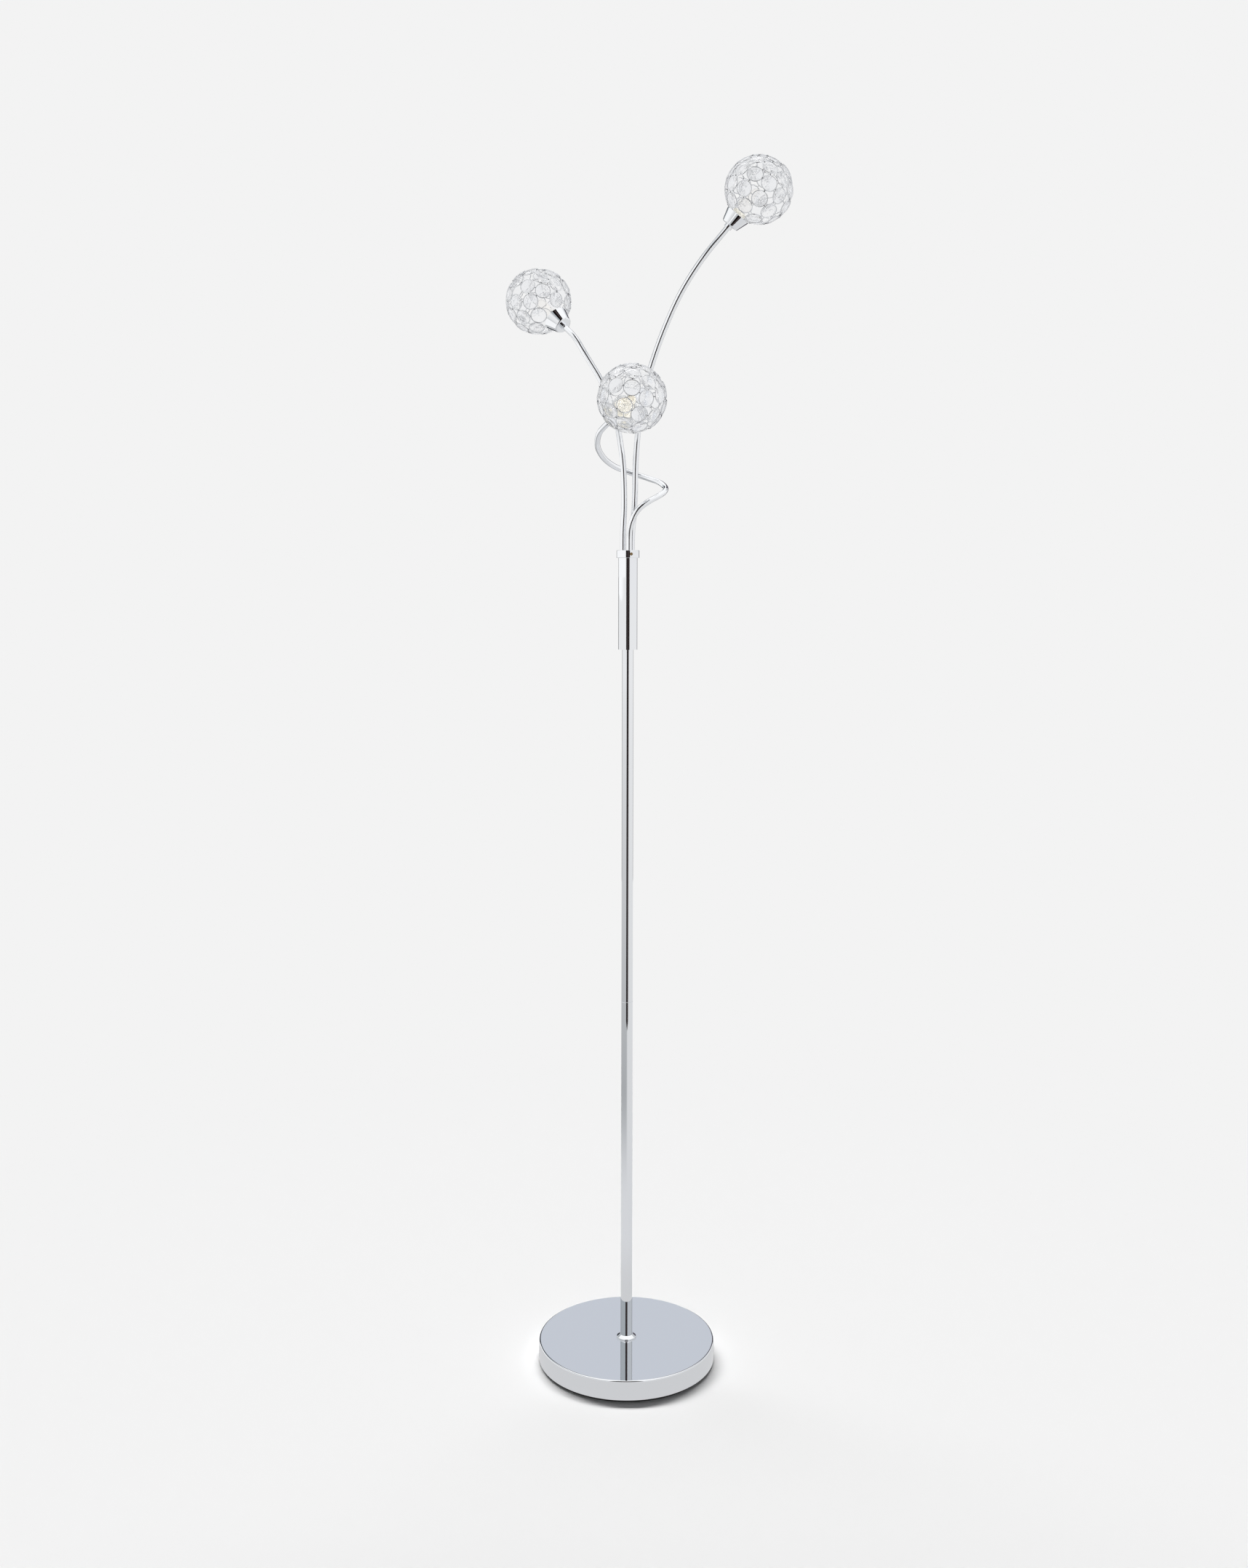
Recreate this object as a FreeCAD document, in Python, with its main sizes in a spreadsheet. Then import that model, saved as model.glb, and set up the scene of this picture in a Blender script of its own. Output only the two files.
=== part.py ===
"""Floor lamp: a weighted round base, a two-piece pole, three bent tube arms and three
crystal ball shades. Millimetres, +Z up, the origin on the floor under the pole's axis;
the camera side of the lamp is -Y."""

import FreeCAD, Part
import math
import os
import re

Vector = FreeCAD.Vector
UP = Vector(0, 0, 1)

# Driving sizes. Each row is a name, a value and what it is.
SIZES = [
    ("overrun", 1, "how far every cutting tool passes the faces it cuts"),
    ("fit_gap", 0.05, "radial gap between a piece and the bore it is pushed or screwed into"),
    ("seat_gap", 0.3, "gap round a piece that only lies in its place"),
    ("base_diameter", 230, "outside of the pressed base cover"),
    ("cover_rise", 24, "height of the base cover's skirt"),
    ("cover_wall", 1.5, "sheet thickness of the base cover"),
    ("cover_round", 2, "outside radius of the cover's top edge"),
    ("pad_inset", 4, "how far the soft pad stays inside the cover's outer edge"),
    ("pad_rise", 4, "thickness of the soft pad"),
    ("well_diameter", 46, "round well under the base weight that takes the nut"),
    ("well_rise", 14, "depth of the nut's well"),
    ("channel_width", 15, "cable channel from the well to the back of the base weight"),
    ("channel_rise", 14, "depth of the cable channel"),
    ("inlet_bore", 6.5, "cable hole in the inlet bush"),
    ("inlet_stem", 10, "diameter of the bush's stem in the cover's skirt"),
    ("inlet_flange", 14, "diameter of the bush's outer flange"),
    ("inlet_flange_rise", 1.5, "thickness of the bush's outer flange"),
    ("inlet_depth", 7, "length of the bush's stem"),
    ("inlet_middle", 9, "height of the bush's axis above the pad"),
    ("stud_diameter", 10, "hollow threaded stud that ties pole and base together"),
    ("stud_bore", 7, "cable bore of the stud and of the pole's fittings"),
    ("stud_reach", 26, "how far the stud stands up into the pole"),
    ("washer_diameter", 26, "washer above the base nut"),
    ("washer_rise", 2, "thickness of the washer"),
    ("nut_across", 17, "base nut across its flats"),
    ("nut_rise", 7, "height of the base nut"),
    ("stud_tail", 2, "thread that shows under the base nut"),
    ("neck_diameter", 25, "foot of the flared ring round the pole"),
    ("neck_foot_rise", 1.5, "straight foot of the neck ring"),
    ("neck_flare_rise", 3, "flared part of the neck ring"),
    ("neck_lip", 0.9, "wall of the neck ring at its top"),
    ("neck_round", 0.7, "rounding of the neck ring's rim"),
    ("pole_diameter", 15, "pole tubes"),
    ("pole_wall", 1.2, "wall of the pole tubes"),
    ("pole_round", 0.4, "rounded ends of the two pole tubes where they meet"),
    ("lower_pole_length", 443, "lower pole tube"),
    ("upper_pole_length", 465, "upper pole tube, up to the sleeve's ring"),
    ("pole_inside_sleeve", 18, "how far the upper pole goes on inside the sleeve"),
    ("foot_insert_length", 18, "threaded insert in the foot of the lower pole"),
    ("coupler_length", 40, "threaded coupler inside the joint of the two pole tubes"),
    ("sleeve_diameter", 25, "sleeve tube that carries the arms"),
    ("sleeve_wall", 1, "wall of the sleeve tube"),
    ("sleeve_length", 116, "sleeve tube between its ring and the collar"),
    ("sleeve_ring_rise", 5, "visible ring at the sleeve's lower end"),
    ("spigot_length", 12, "part of the ring and the collar that sits inside the sleeve"),
    ("collar_diameter", 30, "collar at the top of the sleeve"),
    ("collar_rise", 10, "height of the collar"),
    ("collar_round", 0.5, "rounding of the collar's edges"),
    ("screw_diameter", 4, "clamping screw in the collar's side"),
    ("screw_proud", 0.4, "how far the clamping screw stands out"),
    ("screw_slot", 0.9, "width and depth of the screw's slot"),
    ("screw_angle", -73, "direction of the clamping screw round the collar, degrees from +X"),
    ("arm_diameter", 7.5, "arm tubes"),
    ("arm_wall", 1, "wall of the arm tubes"),
    ("arm_circle", 7, "radius of the circle on which the arms stand in the collar"),
    ("arm_turn", 42.5, "direction of the right arm on that circle, degrees from +X"),
    ("arm_foot", 12, "straight foot of each arm above the collar"),
    ("arm_tip", 14, "straight end of each arm before its cup"),
    ("left_end_x", -86.8, "where the left arm meets its cup"),
    ("left_end_y", 30.4, "where the left arm meets its cup"),
    ("left_rise", 301.5, "left arm's end above the collar"),
    ("left_azimuth", 141, "direction in which the left ball points, degrees from +X"),
    ("left_elevation", 39.6, "how far the left ball points up, degrees"),
    ("right_end_x", 131.3, "where the right arm meets its cup"),
    ("right_end_y", -25, "where the right arm meets its cup"),
    ("right_rise", 424, "right arm's end above the collar"),
    ("right_azimuth", -17.8, "direction in which the right ball points, degrees from +X"),
    ("right_elevation", 48, "how far the right ball points up, degrees"),
    ("middle_end_x", -9, "where the spiral arm meets its cup"),
    ("middle_end_y", -25.7, "where the spiral arm meets its cup"),
    ("middle_rise", 180.2, "spiral arm's end above the collar"),
    ("middle_azimuth", -76.6, "direction in which the middle ball points, degrees from +X"),
    ("middle_elevation", 11.3, "how far the middle ball points up, degrees"),
    ("loop_radius", 44, "reach of the spiral arm's loop from the pole's axis"),
    ("ferrule_diameter", 10.5, "small ring nut where an arm meets its cup"),
    ("ferrule_rise", 4, "height of the ferrule"),
    ("nipple_bore", 4, "cable bore of the threaded nipple"),
    ("nipple_in_arm", 10, "how far the nipple goes into the arm"),
    ("lock_nut_across", 10, "lock nut inside the cup, across its flats"),
    ("lock_nut_rise", 3, "height of the lock nut"),
    ("cup_mouth_diameter", 34.5, "wide end of the cup, against the ball"),
    ("cup_back_diameter", 23, "narrow end of the cup"),
    ("cup_length", 17.5, "cup from end to end"),
    ("cup_wall", 1, "sheet thickness of the cup"),
    ("cup_round", 2.5, "rounding of the cup's narrow end"),
    ("holder_diameter", 18, "ceramic lampholder"),
    ("holder_rise", 19, "height of the lampholder"),
    ("holder_round", 1, "rounding of the lampholder's top edge"),
    ("bulb_diameter", 13, "glass capsule of the bulb"),
    ("bulb_length", 36, "glass capsule above the lampholder"),
    ("pinch_width", 11.5, "pressed glass foot of the bulb, across"),
    ("pinch_depth", 4.5, "pressed glass foot of the bulb, front to back"),
    ("pinch_rise", 7, "pressed glass foot inside the lampholder"),
    ("pin_spread", 9, "distance between the bulb's two pins"),
    ("pin_diameter", 1.2, "bulb pin"),
    ("pin_length", 6, "bulb pin below the pressed foot"),
    ("ball_diameter", 90, "outside of the crystal ball"),
    ("wire_diameter", 1.5, "wire of the shade's frame"),
    ("rings_round", 12, "rings that fit round the ball's middle"),
    ("ring_gap", 1.7, "gap between neighbouring rings of a row"),
    ("first_row_gap", 1.2, "gap between the cup's mouth and the first row of rings"),
    ("row_count", 6, "rows of rings, the single ring at the far end included"),
    ("hoop_wall", 0.8, "thickness of the band of the shade's frame that plugs into the cup"),
    ("hoop_rise", 5, "height of that band"),
    ("crystal_crown", 2, "height of a crystal button in front of its ring"),
    ("crystal_back", 4, "depth of a crystal button behind its ring"),
    ("crystal_table", 9, "flat table of a crystal button"),
]
NAMES = [row[0] for row in SIZES]

# Routes of the arms: shares (x, y, z) of the way from an arm's foot to its end.
LEFT_ROUTE_SHARES = [
    (-0.02, 0.014, 0.21), (0.017, 0.067, 0.42), (0.159, 0.2, 0.609), (0.354, 0.314, 0.741),
    (0.561, 0.49, 0.836),
]
RIGHT_ROUTE_SHARES = [
    (0.026, 0.007, 0.14), (0.041, 0.024, 0.291), (0.072, 0.057, 0.397), (0.13, 0.091, 0.503),
    (0.215, 0.158, 0.59), (0.348, 0.293, 0.698), (0.513, 0.495, 0.803), (0.743, 0.764, 0.908),
]
# The spiral's x and y are shares of its loop's radius, z is a share of its rise.
SPIRAL_ROUTE_SHARES = [
    (0.085, -0.216, 0.19), (0.291, -0.261, 0.293), (0.637, -0.182, 0.36),
    (0.892, -0.023, 0.396), (1.073, 0.205, 0.428), (1.139, 0.477, 0.46), (1.02, 0.795, 0.501),
    (0.614, 1.136, 0.545), (0.055, 1.261, 0.591), (-0.46, 1.091, 0.64), (-0.792, 0.75, 0.706),
    (-0.934, 0.352, 0.793), (-0.86, 0.091, 0.865), (-0.673, -0.068, 0.915),
]
RING_SIDES = 8
ARM_STEP = 360 / 3
HEADS = ("left", "right", "middle")

doc = FreeCAD.newDocument("floor_lamp")
sheet = doc.addObject("Spreadsheet::Sheet", "Sizes")
for line, (name, value, meaning) in enumerate(SIZES, start=1):
    sheet.set("A%d" % line, name)
    sheet.set("B%d" % line, str(value))
    sheet.set("C%d" % line, meaning)
    sheet.setAlias("B%d" % line, name)
doc.recompute()
parts = []


def size(name):
    """The value of one cell of the sheet."""
    return sheet.get(name)


def bind(item, **rules):
    """Ties properties to sums of sheet names; base_x, base_y and base_z are the placement."""
    for prop, rule in rules.items():
        path = prop.replace("base_", "Placement.Base.")
        text = re.sub(r"[a-z_]+", lambda m: "Sizes." * (m.group() in NAMES) + m.group(), rule)
        item.setExpression(path, text)
    return item


def cylinder(name, radius, height, z="0"):
    """An upright cylinder whose foot is at height z."""
    return bind(doc.addObject("Part::Cylinder", name), Radius=radius, Height=height, base_z=z)


def cone(name, low, high, height, z="0"):
    """An upright cone, low and high being its two radii."""
    item = doc.addObject("Part::Cone", name)
    return bind(item, Radius1=low, Radius2=high, Height=height, base_z=z)


def box(name, length, width, height, z="0"):
    """A box centred on the axis, its foot at height z."""
    item = doc.addObject("Part::Box", name)
    bind(item, Length=length, Width=width, Height=height, base_z=z)
    return bind(item, base_x="-(%s) / 2" % length, base_y="-(%s) / 2" % width)


def hexagon(name, across, height, z="0"):
    """A hexagonal prism, across being the distance over its flats."""
    item = doc.addObject("Part::Prism", name)
    item.Polygon = 6
    return bind(item, Circumradius="(%s) / sqrt(3)" % across, Height=height, base_z=z)


def cut(name, solid, *tools):
    """The solid with every tool taken away."""
    for number, tool in enumerate(tools):
        step = doc.addObject("Part::Cut", "%s_cut_%d" % (name, number))
        step.Base, step.Tool = solid, tool
        solid = step
    return solid


def fuse(name, *solids):
    """One solid made of several."""
    item = doc.addObject("Part::MultiFuse", name)
    item.Shapes = list(solids)
    return item


def rounded(name, solid, radius, picks):
    """The solid with the circular edges that picks(edge) accepts rounded."""
    doc.recompute()
    item = doc.addObject("Part::Fillet", name)
    item.Base = solid
    chosen = [number for number, edge in enumerate(solid.Shape.Edges, start=1)
              if edge.isClosed() and isinstance(edge.Curve, Part.Circle) and picks(edge)]
    item.Edges = [(number, radius, radius) for number in chosen]
    return item


def keep(node, item, placement=None):
    """Registers an object as a finished sub-part under the name of its node."""
    item.Label = node
    if placement is not None:
        item.Placement = placement
    parts.append(item)
    return item


def feature(node, shape, placement=None):
    """A sub-part whose shape is worked out here."""
    item = doc.addObject("Part::Feature", node + "_shape")
    item.Shape = shape
    return keep(node, item, placement)


def tube(name, outer, inner, height, z="0"):
    """A straight tube given by its two radii."""
    bore = cylinder(name + "_bore", inner, "%s + 2 * overrun" % height, "%s - overrun" % z)
    return cut(name, cylinder(name + "_body", outer, height, z), bore)


# Heights of the stack, written once as sums of the driving sizes.
BASE_TOP = "(pad_rise + cover_rise)"
POLE_JOINT = "(pad_rise + cover_rise + lower_pole_length)"
RING_FOOT = "(pad_rise + cover_rise + lower_pole_length + upper_pole_length)"
SLEEVE_FOOT = "(%s + sleeve_ring_rise)" % RING_FOOT
COLLAR_FOOT = "(%s + sleeve_length)" % SLEEVE_FOOT
POLE_BORE = "(pole_diameter / 2 - pole_wall)"
WELL_ROOF = "(pad_rise + well_rise)"


def make_base():
    """Pad, cast weight, pressed cover and the cable's inlet bush."""
    keep("base_pad", cylinder("pad", "base_diameter / 2 - pad_inset", "pad_rise"))

    weight = cylinder("weight_disc", "base_diameter / 2 - cover_wall - seat_gap",
                      "cover_rise - cover_wall", "pad_rise")
    well = cylinder("weight_well", "well_diameter / 2", "well_rise + overrun",
                    "pad_rise - overrun")
    hole = cylinder("weight_hole", "stud_diameter / 2 + seat_gap", "cover_rise", "pad_rise")
    channel = box("weight_channel", "channel_width", "base_diameter / 2",
                  "channel_rise + overrun", "pad_rise - overrun")
    bind(channel, base_y="0")
    keep("base_weight", cut("weight", weight, well, hole, channel))

    skin = cylinder("cover_skin", "base_diameter / 2", "cover_rise", "pad_rise")
    top = size("pad_rise") + size("cover_rise")
    skin = rounded("cover_edge", skin, size("cover_round"),
                   lambda edge: abs(edge.Curve.Center.z - top) < size("cover_wall"))
    inside = cylinder("cover_inside", "base_diameter / 2 - cover_wall",
                      "cover_rise - cover_wall + overrun", "pad_rise - overrun")
    eye = cylinder("cover_eye", "stud_diameter / 2 + seat_gap", "cover_rise", "pad_rise")
    window = cylinder("cover_window", "inlet_stem / 2 + fit_gap", "base_diameter / 2",
                      "pad_rise + inlet_middle")
    window.Placement.Rotation = FreeCAD.Rotation(Vector(1, 0, 0), -90)
    keep("base_cover", cut("cover", skin, inside, eye, window))

    stem = cylinder("bush_stem", "inlet_stem / 2", "inlet_depth")
    bind(stem, base_z="-inlet_depth")
    flange = cylinder("bush_flange", "inlet_flange / 2", "inlet_flange_rise")
    bore = cylinder("bush_bore", "inlet_bore / 2",
                    "inlet_depth + inlet_flange_rise + 2 * overrun", "-inlet_depth - overrun")
    bush = cut("bush", fuse("bush_body", stem, flange), bore)
    keep("inlet_bush", bush)
    bush.Placement.Rotation = FreeCAD.Rotation(Vector(1, 0, 0), -90)
    bind(bush, base_y="base_diameter / 2", base_z="pad_rise + inlet_middle")


def make_stud():
    """The hollow stud, its nut and washer, and the ring round the pole's foot."""
    foot = "(%s - washer_rise - nut_rise - stud_tail)" % WELL_ROOF
    stud = tube("stud", "stud_diameter / 2", "stud_bore / 2",
                "(%s + stud_reach - %s)" % (BASE_TOP, foot), foot)
    keep("base_stud", stud)
    washer = tube("washer", "washer_diameter / 2", "stud_diameter / 2 + fit_gap",
                  "washer_rise", "(%s - washer_rise)" % WELL_ROOF)
    keep("base_washer", washer)
    nut_foot = "(%s - washer_rise - nut_rise)" % WELL_ROOF
    nut = hexagon("nut_body", "nut_across", "nut_rise", nut_foot)
    thread = cylinder("nut_thread", "stud_diameter / 2 + fit_gap",
                      "nut_rise + 2 * overrun", "%s - overrun" % nut_foot)
    keep("base_nut", cut("nut", nut, thread))

    foot_ring = cylinder("neck_foot", "neck_diameter / 2", "neck_foot_rise", BASE_TOP)
    flare = cone("neck_flare", "neck_diameter / 2", "pole_diameter / 2 + fit_gap + neck_lip",
                 "neck_flare_rise", "(%s + neck_foot_rise)" % BASE_TOP)
    bore = cylinder("neck_bore", "pole_diameter / 2 + fit_gap",
                    "neck_foot_rise + neck_flare_rise + 2 * overrun", "%s - overrun" % BASE_TOP)
    ring = rounded("neck_rim", fuse("neck_body", foot_ring, flare), size("neck_round"),
                   lambda edge: edge.Curve.Radius > size("pole_diameter") / 2 + size("neck_lip") * 2)
    keep("neck_ring", cut("neck", ring, bore))


def make_pole():
    """Two pole tubes with their threaded insert and coupler."""
    joint = sheet_sum(POLE_JOINT)
    at_joint = lambda edge: (abs(edge.Curve.Center.z - joint) < size("pole_wall")
                             and edge.Curve.Radius > size("pole_diameter") / 2 - size("pole_wall") / 2)
    lower = tube("lower_pole_tube", "pole_diameter / 2", POLE_BORE, "lower_pole_length", BASE_TOP)
    keep("lower_pole", rounded("lower_pole_end", lower, size("pole_round"), at_joint))
    upper = tube("upper_pole_tube", "pole_diameter / 2", POLE_BORE,
                 "(upper_pole_length + sleeve_ring_rise + pole_inside_sleeve)", POLE_JOINT)
    keep("upper_pole", rounded("upper_pole_end", upper, size("pole_round"), at_joint))
    insert = tube("insert", POLE_BORE + " - fit_gap", "stud_diameter / 2 + fit_gap",
                  "foot_insert_length", "(%s + seat_gap)" % BASE_TOP)
    keep("pole_foot_insert", insert)
    coupler = tube("coupler", POLE_BORE + " - fit_gap", "stud_bore / 2", "coupler_length",
                   "(%s - coupler_length / 2)" % POLE_JOINT)
    keep("pole_coupler", coupler)


def arm_foot_point(number):
    """Where arm 0, 1 or 2 stands in the collar."""
    turn = math.radians(size("arm_turn") + ARM_STEP * number)
    return Vector(size("arm_circle") * math.cos(turn), size("arm_circle") * math.sin(turn), 0)


def make_sleeve():
    """Sleeve tube with its lower ring, the collar that holds the arms, and its screw."""
    ring = cylinder("ring_band", "sleeve_diameter / 2", "sleeve_ring_rise", RING_FOOT)
    spigot = cylinder("ring_spigot", "sleeve_diameter / 2 - sleeve_wall - fit_gap",
                      "sleeve_ring_rise + spigot_length", RING_FOOT)
    bore = cylinder("ring_bore", "pole_diameter / 2 + fit_gap",
                    "sleeve_ring_rise + spigot_length + 2 * overrun", "%s - overrun" % RING_FOOT)
    keep("sleeve_ring", cut("ring", fuse("ring_body", ring, spigot), bore))

    sleeve = tube("sleeve_tube", "sleeve_diameter / 2", "sleeve_diameter / 2 - sleeve_wall",
                  "sleeve_length", SLEEVE_FOOT)
    keep("sleeve", sleeve)

    plate = cylinder("collar_plate", "collar_diameter / 2", "collar_rise", COLLAR_FOOT)
    plate = rounded("collar_edge", plate, size("collar_round"), lambda edge: True)
    plug = cylinder("collar_plug", "sleeve_diameter / 2 - sleeve_wall - fit_gap",
                    "spigot_length + overrun", "%s - spigot_length" % COLLAR_FOOT)
    holes = []
    for number in range(3):
        hole = cylinder("collar_hole_%d" % number, "arm_diameter / 2 + fit_gap",
                        "collar_rise + spigot_length + 2 * overrun",
                        "%s - spigot_length - overrun" % COLLAR_FOOT)
        place = "arm_circle * %s(arm_turn * 1deg + %ddeg)"
        step = ARM_STEP * number
        bind(hole, base_x=place % ("cos", step), base_y=place % ("sin", step))
        holes.append(hole)
    side = cylinder("collar_side_hole", "screw_diameter / 2 + fit_gap", "collar_diameter")
    side.Placement.Rotation = radial_turn(size("screw_angle"))
    bind(side, base_z="%s + collar_rise / 2" % COLLAR_FOOT)
    keep("collar", cut("collar", fuse("collar_body", plate, plug), *holes, side))

    reach = size("collar_diameter") / 2 + size("screw_proud")
    start = size("arm_circle") + size("arm_diameter") / 2 + size("fit_gap")
    screw = cylinder("screw_body", "screw_diameter / 2", str(reach - start))
    slot = box("screw_slot", "screw_diameter + overrun", "screw_slot", "screw_slot + overrun",
               str(reach - start - size("screw_slot")))
    screw = cut("screw", screw, slot)
    turn = math.radians(size("screw_angle"))
    height = sheet_sum(COLLAR_FOOT) + size("collar_rise") / 2
    spot = Vector(start * math.cos(turn), start * math.sin(turn), height)
    keep("collar_screw", screw, FreeCAD.Placement(spot, radial_turn(size("screw_angle"))))


def radial_turn(angle):
    """The rotation that lays a piece's own axis level, pointing out at an angle."""
    turn = math.radians(angle)
    return FreeCAD.Rotation(UP, Vector(math.cos(turn), math.sin(turn), 0))


def sheet_sum(rule):
    """The value of a sum of sheet names, such as one of the stack's heights."""
    terms = re.findall(r"([+-]?)\s*([a-z_]+)", rule)
    return sum((-1 if sign == "-" else 1) * size(name) for sign, name in terms)


def unit(vector):
    """A copy of the vector with length one."""
    copy = Vector(vector)
    copy.normalize()
    return copy


def arc_from(start, heading, end):
    """The arc that leaves start along heading and arrives at end."""
    chord = end - start
    angle = heading.getAngle(chord)
    if angle < 1e-6:
        return Part.LineSegment(start, end)
    side = unit(heading - unit(chord) * heading.dot(unit(chord)))
    top = (start + end) * 0.5 + side * (chord.Length / 2 * math.tan(angle / 2))
    return Part.Arc(start, top, end)


def smooth_path(points, first, last):
    """A chain of tangent arcs through the points, two arcs for each stretch."""
    headings = [unit(first)]
    for before, here, after in zip(points, points[1:], points[2:]):
        back, ahead = here - before, after - here
        headings.append(unit(back * ahead.Length ** 2 + ahead * back.Length ** 2))
    headings.append(unit(last))
    edges = []
    for start, end, leave, arrive in zip(points, points[1:], headings, headings[1:]):
        way = end - start
        bend = 2 * (1 - leave.dot(arrive))
        along = way.dot(leave + arrive)
        if bend < 1e-9:
            reach = way.Length / 2
        else:
            reach = (math.sqrt(along ** 2 + bend * way.dot(way)) - along) / bend
        middle = (start + leave * reach + end - arrive * reach) * 0.5
        edges.append(arc_from(start, leave, middle))
        turned = unit(end - arrive * reach - middle)
        edges.append(arc_from(middle, turned, end))
    return Part.Wire([edge.toShape() for edge in edges])


def swept(path, start, heading, radius):
    """The solid that a disc leaves along a path."""
    rim = Part.Wire(Part.makeCircle(radius, start, heading))
    return path.makePipeShell([rim], True, False)


def head_axis(head):
    """The direction from a cup towards its ball."""
    round_about = math.radians(size(head + "_azimuth"))
    upward = math.radians(size(head + "_elevation"))
    level = math.cos(upward)
    return Vector(level * math.cos(round_about), level * math.sin(round_about), math.sin(upward))


def arm_end(head):
    """The point where an arm meets the back of its cup."""
    top = sheet_sum(COLLAR_FOOT) + size("collar_rise")
    return Vector(size(head + "_end_x"), size(head + "_end_y"), top + size(head + "_rise"))


def arm_points(head, number):
    """The points that an arm's middle line passes through."""
    foot = arm_foot_point(number)
    top = sheet_sum(COLLAR_FOOT) + size("collar_rise")
    end = arm_end(head)
    bottom = top - size("collar_rise") - size("spigot_length")
    points = [Vector(foot.x, foot.y, bottom), Vector(foot.x, foot.y, top + size("arm_foot"))]
    if head == "middle":
        loop = size("loop_radius")
        points += [Vector(x * loop, y * loop, top + share * size("middle_rise"))
                   for x, y, share in SPIRAL_ROUTE_SHARES]
    else:
        shares = LEFT_ROUTE_SHARES if head == "left" else RIGHT_ROUTE_SHARES
        points += [Vector(foot.x + x * (end.x - foot.x), foot.y + y * (end.y - foot.y),
                          top + share * (end.z - top)) for x, y, share in shares]
    return points + [end - head_axis(head) * size("arm_tip"), end]


def make_arms():
    """Three bent tubes; the spiral one makes a whole loop round the other two."""
    nodes = {"left": ("arm_left", 1), "right": ("arm_right", 0), "middle": ("arm_spiral", 2)}
    for head, (node, number) in nodes.items():
        points = arm_points(head, number)
        straight = Part.Wire([Part.makeLine(points[0], points[1])])
        bend = smooth_path(points[1:-1], UP, head_axis(head))
        tip = Part.Wire([Part.makeLine(points[-2], points[-1])])
        path = Part.Wire(straight.Edges + bend.Edges + tip.Edges)
        outer = swept(path, points[0], UP, size("arm_diameter") / 2)
        inner = swept(path, points[0], UP, size("arm_diameter") / 2 - size("arm_wall"))
        shape = outer.cut(inner)
        wall_area = math.pi * (size("arm_diameter") - size("arm_wall")) * size("arm_wall")
        print(node, "length", round(path.Length, 1), "volume over section times length",
              round(shape.Volume / (wall_area * path.Length), 4))
        feature(node, shape)


def cup_mouth():
    """Distance from the ball's middle to the cup's mouth, which lies on the ball."""
    return math.sqrt((size("ball_diameter") / 2) ** 2 - (size("cup_mouth_diameter") / 2) ** 2)


def head_place(head):
    """The placement of a head: its own +Z runs from the cup to the ball, its origin is
    the outside of the cup's back."""
    return FreeCAD.Placement(arm_end(head), FreeCAD.Rotation(UP, head_axis(head)))


def ball_place(head):
    """The placement of a ball: its own -Z looks at the cup, its origin is its middle."""
    middle = arm_end(head) + head_axis(head) * (size("cup_length") + cup_mouth())
    return FreeCAD.Placement(middle, FreeCAD.Rotation(UP, head_axis(head)))


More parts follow.
